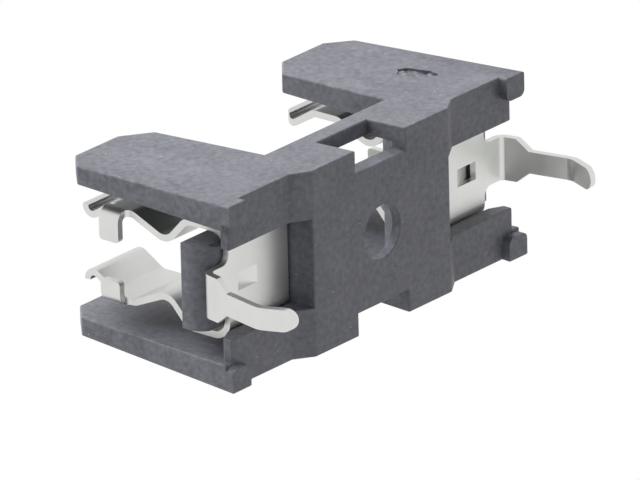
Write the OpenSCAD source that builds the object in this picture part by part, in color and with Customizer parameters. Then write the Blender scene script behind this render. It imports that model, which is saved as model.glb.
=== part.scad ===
// Board fuse holder for one 5 x 20 mm glass fuse.
// A moulded body carries two folded spring clips, whose tails go through the board.
// Frame: Z = 0 is the board, +Z away from it, X along the fuse, origin at the footprint centre.

/* [Body] */
// Length of the body at the board side of its end sections
body_length = 22.9; // [22.5:0.1:24]
// Width of the body on the board
body_width = 9.8; // [9.4:0.1:11]
// Height of the wing tips above the board
body_height = 11.55; // [11.3:0.05:13]
// Clear width between the wings
channel_width = 7; // [6.8:0.05:7.4]
// Lean of the two long outer sides, in degrees
side_draft = 2.26; // [0:0.02:3]
// Lean of the end faces of the wings, in degrees
end_draft = 4; // [0:0.1:5]
// Lean of the wing edges that face the middle, in degrees
inner_draft = 2.2; // [0:0.1:4]

/* [Wings] */
// Distance from the middle to each wing where it leaves the bridge
wing_start = 4.65; // [4.2:0.05:5]
// Bevel of the outer tip corner along the fuse
outer_bevel_x = 1.1; // [0.5:0.05:2]
// Bevel of the outer tip corner in height
outer_bevel_z = 1.1; // [0.5:0.05:2.5]
// Bevel of the inner tip corner along the fuse
inner_bevel_x = 1.4; // [0.5:0.05:2]
// Bevel of the inner tip corner in height
inner_bevel_z = 1.2; // [0.3:0.05:2]

/* [Middle section] */
// Half length of the raised pad on the board side
pad_half = 5.3; // [5:0.05:5.35]
// Length of the sloping step at each end of the pad
pad_step = 1.05; // [0.5:0.05:1.4]
// Height by which the pad stands below the end sections
pad_height = 0.65; // [0.4:0.05:0.9]
// Thickness of the floor
floor_t = 0.95; // [0.8:0.05:1.3]
// Height of the two bridges that join the wings
bridge_top = 3.55; // [3.3:0.05:4.2]
// Thickness of the bridges at the board
bridge_wall = 0.94; // [0.8:0.02:1.1]
// Thickness of the cross wall at each end of the middle section
cross_wall = 0.9; // [0.6:0.05:1.2]
// Half length of the notch in each long side
notch_half = 1.95; // [1.2:0.05:2.6]
// Height of the notch roof above the board
notch_top = 2.45; // [1.8:0.05:2.6]
// Depth of the notch into the floor
notch_depth = 1.2; // [0.5:0.05:1.8]
// Diameter of the locating hole through the floor
hole_d = 2.8; // [2:0.05:3.4]
// Thickness of the floor round the hole, under a screw head
hole_floor = 0.6; // [0.5:0.05:0.8]
// Diameter of the seat of a screw head, inside
hole_seat_d = 4.4; // [4:0.1:5]

/* [Clip seats] */
// Distance between the two ledges that carry a clip
ledge_gap = 4.66; // [4.4:0.02:4.8]
// Set-back of the ledge ends from the body ends
ledge_setback = 0.5; // [0.2:0.05:1]
// Lead-in slope at the ledge ends
ledge_lead = 0.4; // [0.1:0.02:0.5]
// Width of the tongue inside each clip
tongue_width = 4.5; // [4:0.05:4.6]
// Thickness of the tongue
tongue_t = 1.59; // [1.3:0.01:1.7]
// Set-back of the tongue end from the body end
tongue_setback = 0.2; // [0.1:0.01:0.5]
// Radius of the lead-in round the tongue end
tongue_round = 1.1; // [0.6:0.1:1.2]
// Bevel along the tongue's lower edges, which clears the clip's bends
tongue_bevel = 0.2; // [0.15:0.01:0.4]
// Clearance between the clip and the ledges and tongue that hold it
seat_gap = 0.05; // [0.03:0.01:0.1]

/* [Feet] */
// Height by which the corner feet stand below the end sections
foot_height = 0.5; // [0.3:0.05:0.6]
// Length of each corner foot along the fuse
foot_length = 1.35; // [1:0.05:2]
// Width of each corner foot
foot_width = 1.25; // [0.8:0.05:1.35]
// Corner radius of the feet on the side that faces the clip
foot_round = 0.35; // [0.1:0.05:0.5]

/* [Clips] */
// Thickness of the spring sheet
sheet_t = 0.35; // [0.25:0.01:0.4]
// Height of the base's underside above the board
base_height = 1.56; // [1.4:0.02:1.7]
// Width of the spring arms along the fuse
arm_width = 4; // [3.2:0.1:4.1]
// Distance from the middle to the outer edge of the arms
arm_edge = 9.93; // [9.8:0.01:10.1]
// Length of the base that reaches past the arms towards the middle
base_reach = 0.5; // [0.1:0.05:0.55]
// Gap between the base and the cross wall
base_gap = 0.13; // [0.1:0.01:0.3]
// Distance between the two arms beside the tongue, at mid thickness
arm_spread = 5.6; // [5.5:0.05:5.8]
// Bend radius between base and arm, at mid thickness
base_bend = 0.85; // [0.6:0.05:0.9]
// Height above that bend up to which the arm is as long as the base
root_rise = 0.3; // [0.1:0.05:0.5]
// Height of the upright run of an arm above its bend at the base
arm_rise = 1.24; // [1:0.02:1.4]
// Bend radius above the upright run
rise_bend = 0.9; // [0.6:0.05:1]
// Inward lean of the arm above it, in degrees
lean_in = 48; // [40:0.5:52]
// Length of the inward run
lean_in_run = 0.9; // [0.7:0.02:1.1]
// Bend radius at the waist between the arms
waist_bend = 0.85; // [0.6:0.05:1]
// Outward lean of the arm above the waist, in degrees
lean_out = 23.8; // [20:0.1:28]
// Length of the outward run
lean_out_run = 1.61; // [1.4:0.01:1.8]
// Bend radius below the grip
crown_bend = 0.6; // [0.4:0.05:0.8]
// Height of the upright grip
grip_run = 1.22; // [1:0.02:1.4]
// Bend radius above the grip
brow_bend = 0.8; // [0.5:0.05:1]
// Inward lean of the mouth above the grip, in degrees
mouth_lean = 32.4; // [28:0.2:36]
// Length of the mouth's inward run
mouth_run = 1.13; // [0.9:0.01:1.3]
// Bend radius of the lips
lip_bend = 0.4; // [0.3:0.05:0.5]
// Outward flare of the lips, in degrees
lip_flare = 95; // [75:1:105]
// Straight length of the lips
lip_run = 0.02; // [0.01:0.01:0.2]
// Set-back of the mouth and lips from the outer edge of the arms
lip_setback = 0.38; // [0.2:0.02:0.6]
// Corner radius of the lips at the edge towards the middle
lip_round = 0.6; // [0.3:0.05:0.8]
// Length of the lance that locks the clip on the tongue
lance_length = 1.45; // [1:0.05:1.7]
// Width of the lance
lance_width = 0.95; // [0.6:0.05:1.4]
// Distance from the middle to the root of the lance
lance_root = 7.8; // [7:0.1:8]
// Rise of the lance tip into the tongue
lance_rise = 0.5; // [0.2:0.05:0.6]
// Width of the end stops folded in from the grips
stop_width = 1.22; // [0.8:0.02:1.3]
// Height of the end stops above the foot of the grip
stop_rise = 0.3; // [0.25:0.05:0.4]
// Fillet radius under the end stops, where they leave the arm
stop_fillet = 0.3; // [0.1:0.05:0.3]
// Bend radius of the end stops, at mid thickness
stop_bend = 0.45; // [0.35:0.05:0.6]
// Corner radius at the tips of the end stops
stop_round = 0.2; // [0.1:0.05:0.3]
// Distance from the fuse axis to the tip of the long end stop
long_stop = 0.87; // [0.5:0.01:1.4]
// Distance from the fuse axis to the tip of the short end stop
short_stop = 1.2; // [0.5:0.01:1.4]

/* [Tails] */
// Width of the neck and of the tail's shoulder
shoulder_width = 2.3; // [1.8:0.02:2.6]
// Height above the board where the shoulder starts to taper
shoulder_low = 0.75; // [0.4:0.05:1]
// Length of the taper from shoulder to tail
taper_length = 0.7; // [0.4:0.05:1.2]
// Fillet radius where the neck leaves the base
neck_fillet = 0.5; // [0.2:0.05:0.7]
// Bend radius between neck and tail, at mid thickness
tail_bend = 0.5; // [0.3:0.05:0.6]
// Distance from the middle to the end of the neck's bend, at mid thickness
tail_root = 11.53; // [11.5:0.01:11.8]
// Width of the solder tail
tail_width = 1.15; // [0.8:0.05:1.5]
// Depth of the tail tips below the board
tail_depth = 4.05; // [3.2:0.05:5]
// Outward lean of the tail, in degrees
tail_lean = 11.8; // [0:0.2:15]
// Depth of the kink below the board
kink_depth = 2.3; // [1.5:0.05:2.5]
// Bend at the kink, in degrees
kink_turn = 33.6; // [5:0.2:40]
// Bend radius at the kink, at mid thickness
kink_round = 1; // [0.6:0.05:1.2]

/* [Hidden] */
$fn = 48;
over = 0.5;
far = body_length + body_height;
half_length = body_length / 2;
half_width = body_width / 2;
foot_start = half_length - foot_length;
foot_low = pad_height - foot_height;
base_mid = base_height + sheet_t / 2;
base_half = arm_spread / 2 - base_bend;
arm_start = arm_edge - arm_width;
base_inner = arm_start - base_reach;
window_start = base_inner - base_gap;
bend_drop = sqrt(pow(base_bend + sheet_t / 2, 2) - pow(ledge_gap / 2 - base_half, 2));
ledge_top = base_mid + base_bend - bend_drop - seat_gap;
tongue_low = base_height + sheet_t + seat_gap;
tongue_top = tongue_low + tongue_t;
tongue_end = half_length - tongue_setback;
cross_in = window_start - cross_wall;
bend_step = 6;

// Arm of a clip up to its grip, and on to the lip, from the edge of the base:
// each step is a straight run, a bend radius at mid thickness and a turn in degrees
root_steps = [[over, base_bend, 90], [root_rise, 0, 0]];
bow_steps = [
    [over, base_bend, 90],
    [arm_rise, rise_bend, lean_in],
    [lean_in_run, waist_bend, -lean_in - lean_out],
    [lean_out_run, crown_bend, lean_out]
];
grip_steps = concat(bow_steps, [[grip_run, 0, 0]]);
lip_steps = concat(bow_steps, [
    [grip_run, brow_bend, mouth_lean],
    [mouth_run, lip_bend, -mouth_lean - lip_flare],
    [lip_run, 0, 0]
]);

// Places where the grip starts and where the lip ends, in end view
grip_foot = [base_half - over, base_mid] + step_start(bow_steps, len(bow_steps));
lip_end = [base_half - over, base_mid] + step_start(lip_steps, len(lip_steps));
lip_top = lip_end[1] + sheet_t / 2;

// Tail of a clip in the same form, from the end of the neck to the tip
kink_cut = kink_round * tan(kink_turn / 2);
lean_start = base_mid - tail_bend * (1 - sin(tail_lean));
tail_steps = [
    [over, tail_bend, tail_lean - 90],
    [(lean_start + kink_depth) / cos(tail_lean) - kink_cut, kink_round, -kink_turn],
    [tail_depth, 0, 0]
];

// Distance from the middle to an end face at a height
function end_x(z) = half_length - tan(end_draft) * (z - pad_height);

// Distance from the middle to a wing's inner edge at a height
function inner_x(z) = wing_start + tan(inner_draft) * (z - bridge_top);

// Half width of the body at a height
function side_y(z) = half_width - tan(side_draft) * z;

// Chord of one bend that starts along a heading
function chord(radius, turn, heading) =
    sign(turn) * radius
    * [sin(heading + turn) - sin(heading), cos(heading) - cos(heading + turn)];

// Place where a step of a bent strip starts
function step_start(steps, last, i = 0, at = [0, 0], heading = 0) =
    i == last ? at : step_start(
        steps, last, i + 1,
        at + steps[i][0] * [cos(heading), sin(heading)] + chord(steps[i][1], steps[i][2], heading),
        heading + steps[i][2]);

// Places and headings along the middle of a bent strip, close together in its bends
function stations(steps, i = 0, at = [0, 0], heading = 0) =
    let (
        radius = steps[i][1],
        turn = steps[i][2],
        knee = at + steps[i][0] * [cos(heading), sin(heading)],
        count = ceil(abs(turn) / bend_step)
    )
    turn == 0 ? [[knee, heading]] : concat(
        [for (k = [0:count]) [knee + chord(radius, turn * k / count, heading), heading + turn * k / count]],
        stations(steps, i + 1, knee + chord(radius, turn, heading), heading + turn));

// Points beside a strip's middle line, half a thickness to one side
function beside(line, side) =
    [for (s = line) s[0] + side * sheet_t / 2 * [-sin(s[1]), cos(s[1])]];

// A list the other way round
function reversed(list) = [for (i = [len(list) - 1:-1:0]) list[i]];

// Stand a side view, drawn in X and Z, up as a slab centred on the part's long middle plane
module across(width) {
    translate([0, width / 2, 0])
        rotate([90, 0, 0])
            linear_extrude(width)
                children();
}

// Run an end view, drawn in Y and Z, between two distances from the middle
module along(from, to) {
    translate([from, 0, 0])
        rotate([90, 0, 90])
            linear_extrude(to - from)
                children();
}

// Repeat a shape at both ends of the body, turned half round
module both_ends() {
    children();
    rotate(180) children();
}

// Repeat a shape on both long sides, mirrored
module both_sides() {
    children();
    mirror([0, 1, 0]) children();
}

// Corner at the origin that a circle in the first quadrant leaves over
module corner(radius) {
    difference() {
        translate([-over, -over])
            square(radius + over);
        translate([radius, radius])
            circle(radius);
    }
}

// Side view of one half of the body: pad, sloping step, end section, foot, wing and bridge
module half_outline() {
    outer_z = body_height - outer_bevel_z;
    inner_z = body_height - inner_bevel_z;
    polygon([
        [-over, 0],
        [pad_half, 0],
        [pad_half + pad_step, pad_height],
        [foot_start, pad_height],
        [foot_start, foot_low],
        [end_x(foot_low), foot_low],
        [end_x(outer_z), outer_z],
        [end_x(body_height) - outer_bevel_x, body_height],
        [inner_x(body_height) + inner_bevel_x, body_height],
        [inner_x(inner_z), inner_z],
        [inner_x(bridge_top), bridge_top],
        [-over, bridge_top]
    ]);
}

// Side view of the whole body
module side_outline() {
    half_outline();
    mirror([1, 0]) half_outline();
}

// End view of the body's outside, which leans in towards the wing tips
module end_outline() {
    polygon([
        [-side_y(0), 0],
        [side_y(0), 0],
        [side_y(body_height), body_height],
        [-side_y(body_height), body_height]
    ]);
}

// Room for a clip at one end: between the wings, between the ledges, and the lead-in
module clip_room() {
    ledge_end = half_length - ledge_setback;
    along(window_start, far)
        translate([-channel_width / 2, ledge_top])
            square([channel_width, far]);
    along(window_start, far)
        translate([-ledge_gap / 2, -over])
            square([ledge_gap, far]);
    across(channel_width)
        polygon([
            [ledge_end, -over],
            [ledge_end, ledge_top - ledge_lead],
            [ledge_end - 2 * ledge_lead, ledge_top],
            [ledge_end - 2 * ledge_lead, ledge_top + over],
            [far, ledge_top + over],
            [far, -over]
        ]);
}

// Room under the fuse between the bridges, and over the cross walls
module middle_room() {
    half_room = half_width - bridge_wall;
    translate([-cross_in, -half_room, floor_t])
        cube([2 * cross_in, 2 * half_room, far]);
    translate([-window_start - over, -channel_width / 2, tongue_top])
        cube([2 * (window_start + over), channel_width, far]);
}

// Notch in the middle of each long side, open towards the board
module notches() {
    both_sides()
        translate([-notch_half, half_width - notch_depth, -over])
            cube([2 * notch_half, notch_depth + over, notch_top + over]);
}

// Locating hole with the seat of a screw head inside
module locating_hole() {
    translate([0, 0, -over])
        cylinder(d = hole_d, h = floor_t + 2 * over);
    translate([0, 0, hole_floor])
        cylinder(d = hole_seat_d, h = floor_t + over);
}

// Side view of a tongue, rounded where the clip slides on
module tongue_outline() {
    difference() {
        translate([cross_in, tongue_low])
            square([tongue_end - cross_in, tongue_t]);
        translate([tongue_end, tongue_low])
            mirror([1, 0])
                corner(tongue_round);
    }
}

// End view of a tongue, with its bevelled lower edges
module tongue_section() {
    half = tongue_width / 2;
    polygon([
        [-half, tongue_low + tongue_bevel],
        [tongue_bevel - half, tongue_low],
        [half - tongue_bevel, tongue_low],
        [half, tongue_low + tongue_bevel],
        [half, tongue_top],
        [-half, tongue_top]
    ]);
}

// Tongue that fills a clip from inside, with the pocket that its lance snaps into
module tongue() {
    play = 2 * seat_gap;
    difference() {
        intersection() {
            across(tongue_width) tongue_outline();
            along(cross_in, far) tongue_section();
        }
        translate([lance_root - play, -lance_width / 2 - play, tongue_low - over])
            cube([lance_length + 2 * play, lance_width + 2 * play, over + lance_rise + play]);
    }
}

// Room between the corner feet, which stand flush with the ends and the long sides
module foot_room() {
    inner = half_width - foot_width;
    translate([0, 0, -over])
        linear_extrude(pad_height + over) {
            translate([foot_start - over, -inner])
                square([far, 2 * inner]);
            for (side = [0, 1])
                mirror([0, side]) {
                    translate([foot_start, inner])
                        corner(foot_round);
                    translate([end_x(foot_low), inner])
                        mirror([1, 0])
                            corner(foot_round);
                }
        }
}

// Moulded body: floor, bridges, cross walls, wings, ledges, tongues and feet
module holder_body() {
    color("DimGray") {
        difference() {
            intersection() {
                across(body_width + over) side_outline();
                along(-far, far) end_outline();
            }
            both_ends() clip_room();
            both_ends() foot_room();
            middle_room();
            notches();
            locating_hole();
        }
        both_ends() tongue();
    }
}

// Strip of sheet bent step by step, drawn from the origin along +X
module bent_strip(steps) {
    line = concat([[[0, 0], 0]], stations(steps));
    polygon(concat(beside(line, 1), reversed(beside(line, -1))));
}

// Board-side view of a clip's base: plate, filleted neck and the window of the lance
module base_outline() {
    difference() {
        union() {
            translate([base_inner, -base_half])
                square([arm_edge - base_inner, 2 * base_half]);
            translate([arm_edge - over, -shoulder_width / 2])
                square([tail_root - tail_bend - arm_edge + over, shoulder_width]);
            for (side = [0, 1])
                mirror([0, side])
                    translate([arm_edge, shoulder_width / 2])
                        corner(neck_fillet);
        }
        translate([lance_root, -lance_width / 2])
            square([lance_length, lance_width]);
    }
}

// Lance cut free on three sides and bent up into the tongue
module lance() {
    low = base_height;
    high = base_height + sheet_t;
    tip = lance_root + lance_length - 2 * seat_gap;
    across(lance_width)
        polygon([
            [lance_root - sheet_t, low],
            [lance_root, low],
            [tip, low + lance_rise],
            [tip, high + lance_rise],
            [lance_root, high],
            [lance_root - sheet_t, high]
        ]);
}

// End stop folded in from the grip of an arm, up to a distance from the fuse axis
module end_stop(reach) {
    root = lip_setback / 2;
    stop_low = grip_foot[1] + stop_rise;
    fold = [[root, stop_bend, -90], [grip_foot[0] - stop_bend - reach, 0, 0]];
    difference() {
        translate([arm_edge - root, grip_foot[0], grip_foot[1]])
            linear_extrude(stop_rise + stop_width)
                bent_strip(fold);
        across(far)
            translate([arm_edge, stop_low])
                difference() {
                    translate([0, -far])
                        square(far);
                    mirror([0, 1])
                        corner(stop_fillet);
                }
        along(arm_edge, far)
            translate([reach, stop_low]) {
                corner(stop_round);
                translate([0, stop_width])
                    mirror([0, 1])
                        corner(stop_round);
            }
    }
}

// Outline of a tail seen along the fuse: shoulder, taper and round tip
module tail_outline() {
    half_shoulder = shoulder_width / 2;
    half_tail = tail_width / 2;
    round_z = half_tail - tail_depth;
    translate([0, round_z])
        circle(half_tail);
    polygon([
        [-half_tail, round_z],
        [half_tail, round_z],
        [half_tail, shoulder_low - taper_length],
        [half_shoulder, shoulder_low],
        [half_shoulder, base_mid + over],
        [-half_shoulder, base_mid + over],
        [-half_shoulder, shoulder_low],
        [-half_tail, shoulder_low - taper_length]
    ]);
}

// Solder tail, bent down from the neck and kinked so that it grips the board
module tail() {
    start = tail_root - tail_bend - over;
    intersection() {
        across(shoulder_width)
            translate([start, base_mid])
                bent_strip(tail_steps);
        along(start, far) tail_outline();
    }
}

// Both arms of a clip in end view, up to some step
module arm_pair(steps) {
    for (side = [0, 1])
        mirror([side, 0])
            translate([base_half - over, base_mid])
                bent_strip(steps);
}

// Both arms: their grips, and the mouths above with a round inner corner
module arms() {
    difference() {
        union() {
            along(arm_start, arm_edge) arm_pair(grip_steps);
            along(arm_start, arm_edge - lip_setback) arm_pair(lip_steps);
        }
        across(far)
            translate([arm_start, lip_top])
                mirror([0, 1])
                    corner(lip_round);
    }
}

// Folded spring clip at the +X end
module contact_clip() {
    translate([0, 0, base_height])
        linear_extrude(sheet_t)
            base_outline();
    along(base_inner, arm_edge) arm_pair(root_steps);
    arms();
    lance();
    end_stop(long_stop);
    mirror([0, 1, 0]) end_stop(short_stop);
    tail();
}

module right_contact_clip() {
    color("Gainsboro") contact_clip();
}

module left_contact_clip() {
    color("Gainsboro") rotate(180) contact_clip();
}

holder_body();
left_contact_clip();
right_contact_clip();
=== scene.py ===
import math

import bmesh
import bpy
import numpy as np
from mathutils import Matrix, Vector


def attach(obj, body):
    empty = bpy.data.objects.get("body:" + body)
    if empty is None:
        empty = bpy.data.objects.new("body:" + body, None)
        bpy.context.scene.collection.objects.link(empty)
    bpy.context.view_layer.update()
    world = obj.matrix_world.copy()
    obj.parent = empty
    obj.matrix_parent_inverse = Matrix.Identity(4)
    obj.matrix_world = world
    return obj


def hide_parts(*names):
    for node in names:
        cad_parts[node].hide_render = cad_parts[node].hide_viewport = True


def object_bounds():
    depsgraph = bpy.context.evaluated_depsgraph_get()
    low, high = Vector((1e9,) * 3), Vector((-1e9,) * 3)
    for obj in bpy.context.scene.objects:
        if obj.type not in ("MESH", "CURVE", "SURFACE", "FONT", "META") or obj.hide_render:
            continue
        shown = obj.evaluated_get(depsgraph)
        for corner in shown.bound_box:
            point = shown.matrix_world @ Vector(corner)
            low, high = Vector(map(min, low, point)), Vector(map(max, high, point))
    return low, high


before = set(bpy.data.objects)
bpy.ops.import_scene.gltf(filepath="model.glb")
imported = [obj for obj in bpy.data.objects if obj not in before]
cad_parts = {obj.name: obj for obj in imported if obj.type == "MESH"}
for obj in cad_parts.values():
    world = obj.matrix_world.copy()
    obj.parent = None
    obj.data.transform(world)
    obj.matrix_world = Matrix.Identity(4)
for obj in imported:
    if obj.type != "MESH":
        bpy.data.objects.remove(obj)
cad_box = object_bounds()
scene = bpy.context.scene
scene.view_settings.view_transform = "Standard"
MM = 0.001

# Holder body.
# One injection moulding in dark slate glass-filled polyamide, out of a spark-eroded steel mould.
# The mould leaves slightly round outer edges, and the torn-off gate leaves a pit in one wing.
BODY_EDGE_RADIUS = 0.08 * MM
BODY_EDGE_ANGLE = math.radians(24)
BODY_EDGE_ROOM = 0.17 * MM
BODY_EDGE_SEGMENTS = 3
WELD_GAP = 0.001 * MM
FLAT_ANGLE = math.radians(0.5)
SMOOTH_ANGLE = math.radians(10)


def welded_copy(node, name):
    """A copy of a solid's loose triangles with shared corners, and flat faces made whole."""
    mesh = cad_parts[node].data.copy()
    mesh.name = name
    mesh.materials.clear()
    shape = bmesh.new()
    shape.from_mesh(mesh)
    bmesh.ops.remove_doubles(shape, verts=shape.verts, dist=WELD_GAP)
    bmesh.ops.dissolve_limit(
        shape,
        angle_limit=FLAT_ANGLE,
        verts=shape.verts,
        edges=shape.edges,
    )
    shape.to_mesh(mesh)
    shape.free()
    piece = bpy.data.objects.new(name, mesh)
    scene.collection.objects.link(piece)
    return piece


def shade_bends(piece):
    """Shade faces that meet at a slight angle as one curve, and keep all other edges sharp."""
    piece.data.shade_smooth()
    piece.data.set_sharp_from_angle(angle=SMOOTH_ANGLE)


def round_outer_edges(piece, radius, angle, room, kept_sharp):
    """Bevel each edge that stands out by more than an angle, where the bevel has room.

    It has room if all edges at both of its ends are long enough. An edge whose middle or one of
    whose ends is within reach of a place in kept_sharp stays as it is.
    """
    shape = bmesh.new()
    shape.from_mesh(piece.data)
    outer = []
    for edge in shape.edges:
        beside = [other for corner in edge.verts for other in corner.link_edges]
        start, end = (corner.co for corner in edge.verts)
        spots = (start, (start + end) / 2, end)
        if (
            edge.calc_face_angle_signed(0.0) > angle
            and min(other.calc_length() for other in beside) > room
            and all((spot - at).length > reach for spot in spots for at, reach in kept_sharp)
        ):
            outer.append(edge)
    bmesh.ops.bevel(
        shape,
        geom=outer,
        offset=radius,
        offset_type="OFFSET",
        segments=BODY_EDGE_SEGMENTS,
        profile=0.5,
        affect="EDGES",
        loop_slide=True,
    )
    shape.to_mesh(piece.data)
    shape.free()
    shade_bends(piece)


body = welded_copy("holder_body", "holder_body_moulding")

# Gate pit: where the sprue was torn off, the plastic broke out of one wing in a ragged hollow.
# It is cut out of the moulding, so that its walls and its torn floor are real surfaces.
WING_LEAN = math.radians(2.26)
WING_FOOT = 4.9 * MM
GATE_PIT_X = -8.5 * MM
GATE_PIT_Z = 4.65 * MM
GATE_PIT_DEPTH = 0.16 * MM
GATE_PIT_HALF_WIDTH = 0.62 * MM
GATE_PIT_HALF_HEIGHT = 1.1 * MM
GATE_PIT_STRAIGHT = 0.5 * MM
GATE_PIT_LEAN = math.radians(-10)
GATE_PIT_LID = 0.1 * MM
GATE_PIT_REACH = 1.35 * MM
GATE_PIT_TURNS = 56
GATE_PIT_RINGS = 10
gate_pit_y = WING_FOOT - math.tan(WING_LEAN) * GATE_PIT_Z


def gate_pit_cutter():
    """A ragged closed blob: rings of points round a centre, from the torn floor up to a flat lid.

    The outline's radius is an oval times a sum of sines of the angle round it, cut straight
    on one side. The floor's depth is a sum of sines of place, deepest at that straight side.
    """
    turns = np.linspace(0, 2 * np.pi, GATE_PIT_TURNS, endpoint=False)
    rings = np.linspace(0, 1, GATE_PIT_RINGS + 1)[1:]
    ragged = (
        1
        + 0.07 * np.sin(3 * turns + 0.6)
        + 0.05 * np.sin(7 * turns + 2.1)
        + 0.04 * np.sin(13 * turns + 4.0)
    )
    along = np.maximum(GATE_PIT_HALF_WIDTH * np.cos(turns) * ragged, -GATE_PIT_STRAIGHT)
    up = GATE_PIT_HALF_HEIGHT * np.sin(turns) * ragged
    lean_cos, lean_sin = math.cos(GATE_PIT_LEAN), math.sin(GATE_PIT_LEAN)
    outline = np.stack([along * lean_cos - up * lean_sin, along * lean_sin + up * lean_cos], 1)
    floor = rings[:, None, None] * outline[None, :, :]
    x, z = floor[..., 0] / MM, floor[..., 1] / MM
    torn = (
        0.62
        - 0.5 * x
        + 0.2 * np.sin(9 * x + 5 * z)
        + 0.14 * np.sin(4 * x - 11 * z + 1.3)
        + 0.1 * np.sin(17 * x + 13 * z + 0.4)
    )
    depth = -GATE_PIT_DEPTH * np.clip(torn, 0.12, 1.2)
    flat = np.concatenate([[[0.0, 0.0]], floor.reshape(-1, 2), outline, [[0.0, 0.0]]])
    lid = np.full(len(turns) + 1, GATE_PIT_LID)
    rise = np.concatenate([[depth[0].mean()], depth.ravel(), lid])
    points = np.stack(
        [
            GATE_PIT_X + flat[:, 0],
            gate_pit_y - flat[:, 1] * math.sin(WING_LEAN) + rise * math.cos(WING_LEAN),
            GATE_PIT_Z + flat[:, 1] * math.cos(WING_LEAN) + rise * math.sin(WING_LEAN),
        ],
        1,
    )
    count = len(turns)
    here = np.arange(count)
    there = (here + 1) % count
    ring = 1 + count * np.arange(len(rings))[:, None]
    walls = np.stack([ring + here, ring + there, ring + count + there, ring + count + here], 2)
    bottom = np.stack([here * 0, 1 + there, 1 + here], 1)
    rim = 1 + count * len(rings)
    top = np.stack([here * 0 + len(points) - 1, rim + here, rim + there], 1)
    mesh = bpy.data.meshes.new("gate_pit_cutter")
    faces = bottom.tolist() + walls.reshape(-1, 4).tolist() + top.tolist()
    mesh.from_pydata(points.tolist(), [], faces)
    shape = bmesh.new()
    shape.from_mesh(mesh)
    bmesh.ops.recalc_face_normals(shape, faces=shape.faces)
    shape.to_mesh(mesh)
    shape.free()
    cutter = bpy.data.objects.new("gate_pit_cutter", mesh)
    scene.collection.objects.link(cutter)
    return cutter


def cut_out(piece, cutter):
    """Take a closed cutter out of a piece for good, and remove the cutter."""
    cut = piece.modifiers.new("cut", "BOOLEAN")
    cut.operation = "DIFFERENCE"
    cut.solver = "EXACT"
    cut.object = cutter
    bpy.context.view_layer.update()
    graph = bpy.context.evaluated_depsgraph_get()
    whole = piece.data
    piece.data = bpy.data.meshes.new_from_object(piece.evaluated_get(graph))
    piece.data.name = piece.name
    piece.modifiers.clear()
    bpy.data.meshes.remove(whole)
    bpy.data.objects.remove(cutter)


cut_out(body, gate_pit_cutter())
gate_pit = Vector((GATE_PIT_X, gate_pit_y, GATE_PIT_Z))

# The pit keeps its torn rim, and a bevel has no room at the four inner corners of the bridges.
BRIDGE_CORNER_X = 4.66 * MM
BRIDGE_CORNER_Y = 3.54 * MM
BRIDGE_CORNER_Z = 3.55 * MM
BRIDGE_CORNER_REACH = 0.15 * MM

kept_sharp = [(gate_pit, GATE_PIT_REACH)]
for side in (-1, 1):
    for end in (-1, 1):
        corner = Vector((end * BRIDGE_CORNER_X, side * BRIDGE_CORNER_Y, BRIDGE_CORNER_Z))
        kept_sharp.append((corner, BRIDGE_CORNER_REACH))
round_outer_edges(body, BODY_EDGE_RADIUS, BODY_EDGE_ANGLE, BODY_EDGE_ROOM, kept_sharp)


def linear(colour):
    """The linear colour of an sRGB hex value, with full alpha."""
    parts = [int(colour[i : i + 2], 16) / 255 for i in (1, 3, 5)]
    return [p / 12.92 if p <= 0.04045 else ((p + 0.055) / 1.055) ** 2.4 for p in parts] + [1.0]


def add_node(tree, kind, settings=(), inputs=(), links=()):
    """Add one node with its settings, its input values and its links from other nodes."""
    node = tree.nodes.new(kind)
    for name, value in dict(settings).items():
        setattr(node, name, value)
    for name, value in dict(inputs).items():
        node.inputs[name].default_value = value
    for name, (source, socket) in dict(links).items():
        tree.links.new(source.outputs[socket], node.inputs[name])
    return node


def empty_material(name):
    """A material with no nodes yet."""
    material = bpy.data.materials.new(name)
    material.use_nodes = True
    material.node_tree.nodes.clear()
    return material


# Glass-filled polyamide from a spark-eroded mould: a dull dark slate skin with a fine grain,
# faint flow clouds a few millimetres across, and a few pale fibre flecks at the surface.
# The real grain is too fine to show, so it is drawn several times coarser.
SLATE_DARK = "#3D3E45"
SLATE_LIGHT = "#616269"
FLECK = "#9A9BA0"
CLOUD_SIZE = 2.4 * MM
GRAIN_SIZE = 0.32 * MM
FLECK_SPACING = 0.9 * MM
FLECK_RADIUS = 0.045 * MM
FLECK_CORE = 0.6
GRAIN_SHARE = 1.6
BLOTCH_LOW = 0.85
BLOTCH_HIGH = 1.75
SKIN_ROUGHNESS_LOW = 0.42
SKIN_ROUGHNESS_HIGH = 0.6
GRAIN_STRENGTH = 0.35
GRAIN_DEPTH = 0.02 * MM
POLYAMIDE_IOR = 1.53

polyamide = empty_material("moulded_glass_filled_polyamide")
tree = polyamide.node_tree
place = add_node(tree, "ShaderNodeTexCoord")
clouds = add_node(
    tree,
    "ShaderNodeTexNoise",
    inputs={"Scale": 1 / CLOUD_SIZE, "Detail": 4.0, "Roughness": 0.6},
    links={"Vector": (place, "Object")},
)
grain = add_node(
    tree,
    "ShaderNodeTexNoise",
    inputs={"Scale": 1 / GRAIN_SIZE, "Detail": 3.0, "Roughness": 0.65},
    links={"Vector": (place, "Object")},
)
blotches = add_node(
    tree,
    "ShaderNodeMath",
    {"operation": "MULTIPLY_ADD"},
    {1: GRAIN_SHARE},
    {0: (grain, "Fac"), 2: (clouds, "Fac")},
)
tone = add_node(
    tree,
    "ShaderNodeMapRange",
    inputs={"From Min": BLOTCH_LOW, "From Max": BLOTCH_HIGH},
    links={"Value": (blotches, "Value")},
)
slate = add_node(
    tree,
    "ShaderNodeMix",
    {"data_type": "RGBA"},
    {6: linear(SLATE_DARK), 7: linear(SLATE_LIGHT)},
    {0: (tone, "Result")},
)
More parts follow.
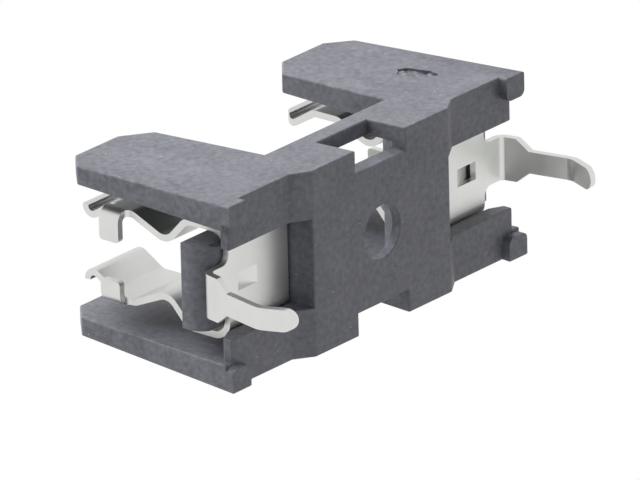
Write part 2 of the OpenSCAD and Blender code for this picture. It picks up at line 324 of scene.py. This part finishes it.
fibres = add_node(
    tree,
    "ShaderNodeTexVoronoi",
    {"feature": "F1"},
    {"Scale": 1 / FLECK_SPACING, "Randomness": 1.0},
    {"Vector": (place, "Object")},
)
fleck = add_node(
    tree,
    "ShaderNodeMapRange",
    inputs={
        "From Min": FLECK_RADIUS / FLECK_SPACING,
        "From Max": FLECK_CORE * FLECK_RADIUS / FLECK_SPACING,
    },
    links={"Value": (fibres, "Distance")},
)
skin_colour = add_node(
    tree,
    "ShaderNodeMix",
    {"data_type": "RGBA"},
    {7: linear(FLECK)},
    {0: (fleck, "Result"), 6: (slate, 2)},
)
dullness = add_node(
    tree,
    "ShaderNodeMapRange",
    inputs={"To Min": SKIN_ROUGHNESS_LOW, "To Max": SKIN_ROUGHNESS_HIGH},
    links={"Value": (clouds, "Fac")},
)
spark_grain = add_node(
    tree,
    "ShaderNodeBump",
    inputs={"Strength": GRAIN_STRENGTH, "Distance": GRAIN_DEPTH},
    links={"Height": (grain, "Fac")},
)
skin = add_node(
    tree,
    "ShaderNodeBsdfPrincipled",
    inputs={"IOR": POLYAMIDE_IOR},
    links={
        "Base Color": (skin_colour, 2),
        "Roughness": (dullness, "Result"),
        "Normal": (spark_grain, "Normal"),
    },
)
add_node(tree, "ShaderNodeOutputMaterial", links={"Surface": (skin, "BSDF")})

body.data.materials.append(polyamide)
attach(body, "root")
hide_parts("holder_body")

# Contact clips.
# Each is stamped and folded from one strip of bronze spring sheet and plated with satin tin.
# They slide on to the tongues from the ends, and a lance in each base snaps into its tongue.

# Tin-plated bronze: a pale neutral silver, satin rather than mirror bright, with soft cloudy
# patches where the plating is duller, and faint rolling lines along the strip.
TIN = "#E0E1DE"
TIN_DULL = "#CFD0CD"
PATCH_SIZE = 1.6 * MM
LINE_LENGTH = 3.0 * MM
LINE_WIDTH = 0.06 * MM
PLATING_ROUGHNESS = 0.3
PATCH_ROUGHNESS = 0.12
LINE_ROUGHNESS = 0.05
LINE_STRENGTH = 0.04
LINE_DEPTH = 0.004 * MM

tin = empty_material("satin_tin_plated_bronze")
tree = tin.node_tree
place = add_node(tree, "ShaderNodeTexCoord")
patches = add_node(
    tree,
    "ShaderNodeTexNoise",
    inputs={"Scale": 1 / PATCH_SIZE, "Detail": 3.0, "Roughness": 0.55},
    links={"Vector": (place, "Object")},
)
stretched = add_node(
    tree,
    "ShaderNodeMapping",
    inputs={"Scale": (1 / LINE_LENGTH, 1 / LINE_WIDTH, 1 / LINE_WIDTH)},
    links={"Vector": (place, "Object")},
)
rolling = add_node(
    tree,
    "ShaderNodeTexNoise",
    inputs={"Scale": 1.0, "Detail": 2.0, "Roughness": 0.6},
    links={"Vector": (stretched, "Vector")},
)
plating = add_node(
    tree,
    "ShaderNodeMix",
    {"data_type": "RGBA"},
    {6: linear(TIN_DULL), 7: linear(TIN)},
    {0: (patches, "Fac")},
)
satin = add_node(
    tree,
    "ShaderNodeMath",
    {"operation": "MULTIPLY_ADD"},
    {1: PATCH_ROUGHNESS, 2: PLATING_ROUGHNESS},
    {0: (patches, "Fac")},
)
satin_lines = add_node(
    tree,
    "ShaderNodeMath",
    {"operation": "MULTIPLY_ADD"},
    {1: LINE_ROUGHNESS},
    {0: (rolling, "Fac"), 2: (satin, "Value")},
)
fine_lines = add_node(
    tree,
    "ShaderNodeBump",
    inputs={"Strength": LINE_STRENGTH, "Distance": LINE_DEPTH},
    links={"Height": (rolling, "Fac")},
)
plated_sheet = add_node(
    tree,
    "ShaderNodeBsdfPrincipled",
    inputs={"Metallic": 1.0},
    links={
        "Base Color": (plating, 2),
        "Roughness": (satin_lines, "Value"),
        "Normal": (fine_lines, "Normal"),
    },
)
add_node(tree, "ShaderNodeOutputMaterial", links={"Surface": (plated_sheet, "BSDF")})

for node in ("left_contact_clip", "right_contact_clip"):
    clip = welded_copy(node, node + "_tinned")
    shade_bends(clip)
    clip.data.materials.append(tin)
    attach(clip, "root")
    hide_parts(node)

# Studio floor.
# A pale sheet just under the tips of the tails, which shows the object's soft shadow.
# It is there for the eye alone: it neither blocks nor bounces the light, and has no underside.
FLOOR_HALF = 1.5
FLOOR_GAP = 0.05 * MM
FLOOR_PALE = "#F4F4F2"

floor_z = cad_box[0].z - FLOOR_GAP
across, along = np.meshgrid([-FLOOR_HALF, FLOOR_HALF], [-FLOOR_HALF, FLOOR_HALF])
corners = np.stack([across.ravel(), along.ravel(), np.full(4, floor_z)], 1)
floor_mesh = bpy.data.meshes.new("studio_floor")
floor_mesh.from_pydata(corners.tolist(), [], [[0, 1, 3, 2]])
floor = bpy.data.objects.new("studio_floor", floor_mesh)
scene.collection.objects.link(floor)

paper = empty_material("pale_studio_paper")
tree = paper.node_tree
light_path = add_node(tree, "ShaderNodeLightPath")
facing = add_node(tree, "ShaderNodeNewGeometry")
above = add_node(
    tree,
    "ShaderNodeMath",
    {"operation": "SUBTRACT", "use_clamp": True},
    links={0: (light_path, "Is Camera Ray"), 1: (facing, "Backfacing")},
)
clear = add_node(tree, "ShaderNodeBsdfTransparent")
matt = add_node(tree, "ShaderNodeBsdfDiffuse", inputs={"Color": linear(FLOOR_PALE)})
seen = add_node(
    tree,
    "ShaderNodeMixShader",
    links={0: (above, "Value"), 1: (clear, "BSDF"), 2: (matt, "BSDF")},
)
add_node(tree, "ShaderNodeOutputMaterial", links={"Surface": (seen, "Shader")})
floor_mesh.materials.append(paper)

# Studio light.
# A white surround, seen as plain white and reflected as such, with a broad soft key from +Y
# and +Z, which is above and behind in the photograph, and a weak front light on the board side.
SURROUND_LIGHT = 0.62
KEY_STRENGTH = 9.0
KEY_FROM = (0.05, 0.6, 0.8)
KEY_SPREAD = math.radians(80)
FRONT_STRENGTH = 0.3
FRONT_FROM = (0.1, -0.1, -1.0)
FRONT_SPREAD = math.radians(80)

surround = bpy.data.worlds.new("white_surround")
surround.use_nodes = True
scene.world = surround
tree = surround.node_tree
tree.nodes.clear()
light_path = add_node(tree, "ShaderNodeLightPath")
looked_at = add_node(
    tree,
    "ShaderNodeMath",
    {"operation": "MAXIMUM"},
    links={0: (light_path, "Is Camera Ray"), 1: (light_path, "Is Glossy Ray")},
)
looked_through = add_node(
    tree,
    "ShaderNodeMath",
    {"operation": "MAXIMUM"},
    links={0: (looked_at, "Value"), 1: (light_path, "Is Transmission Ray")},
)
lighting = add_node(
    tree,
    "ShaderNodeBackground",
    inputs={"Color": linear("#FFFFFF"), "Strength": SURROUND_LIGHT},
)
white = add_node(
    tree,
    "ShaderNodeBackground",
    inputs={"Color": linear("#FFFFFF"), "Strength": 1.0},
)
shown = add_node(
    tree,
    "ShaderNodeMixShader",
    links={0: (looked_through, "Value"), 1: (lighting, "Background"), 2: (white, "Background")},
)
add_node(tree, "ShaderNodeOutputWorld", links={"Surface": (shown, "Shader")})


def soft_lamp(name, strength, come_from, spread):
    """A broad even light from one direction, with no fall-off, that metal does not mirror."""
    lamp = bpy.data.lights.new(name, "SUN")
    lamp.energy = strength
    lamp.angle = spread
    lamp_object = bpy.data.objects.new(name, lamp)
    lamp_object.rotation_euler = Vector(come_from).to_track_quat("Z", "Y").to_euler()
    lamp_object.visible_glossy = False
    scene.collection.objects.link(lamp_object)


soft_lamp("soft_key", KEY_STRENGTH, KEY_FROM, KEY_SPREAD)
soft_lamp("soft_front", FRONT_STRENGTH, FRONT_FROM, FRONT_SPREAD)

# Camera.
# The photograph was taken from far off with a long lens, with the part lying on one long side,
# so the picture's up is near +Y and the board side faces the camera.
CAMERA_AZIMUTH = math.radians(50.079)
CAMERA_ELEVATION = math.radians(21.5747)
CAMERA_ROLL = math.radians(-1.4046)
CAMERA_DISTANCE = 692.0 * MM
CAMERA_SIDE = 3.080 * MM
CAMERA_LIFT = 0.3835 * MM
FOCAL_PIXELS = 14057.4
PICTURE_WIDTH = 640
SENSOR_WIDTH = 36.0

sin_az, cos_az = math.sin(CAMERA_AZIMUTH), math.cos(CAMERA_AZIMUTH)
sin_el, cos_el = math.sin(CAMERA_ELEVATION), math.cos(CAMERA_ELEVATION)
towards_camera = Vector((sin_az * cos_el, sin_el, -cos_az * cos_el))
level = Vector((-cos_az, 0.0, -sin_az))
upright = Vector((-sin_az * sin_el, cos_el, cos_az * sin_el))
picture_right = math.cos(CAMERA_ROLL) * level + math.sin(CAMERA_ROLL) * upright
picture_up = math.cos(CAMERA_ROLL) * upright - math.sin(CAMERA_ROLL) * level
stand = towards_camera * CAMERA_DISTANCE - picture_right * CAMERA_SIDE - picture_up * CAMERA_LIFT

lens = bpy.data.cameras.new("photo_camera")
lens.sensor_fit = "HORIZONTAL"
lens.sensor_width = SENSOR_WIDTH
lens.lens = FOCAL_PIXELS * SENSOR_WIDTH / PICTURE_WIDTH
lens.clip_start = 0.05
lens.clip_end = 10.0
camera = bpy.data.objects.new("photo_camera", lens)
axes = Matrix((picture_right, picture_up, towards_camera)).transposed()
camera.matrix_world = Matrix.Translation(stand) @ axes.to_4x4()
scene.collection.objects.link(camera)
scene.camera = camera
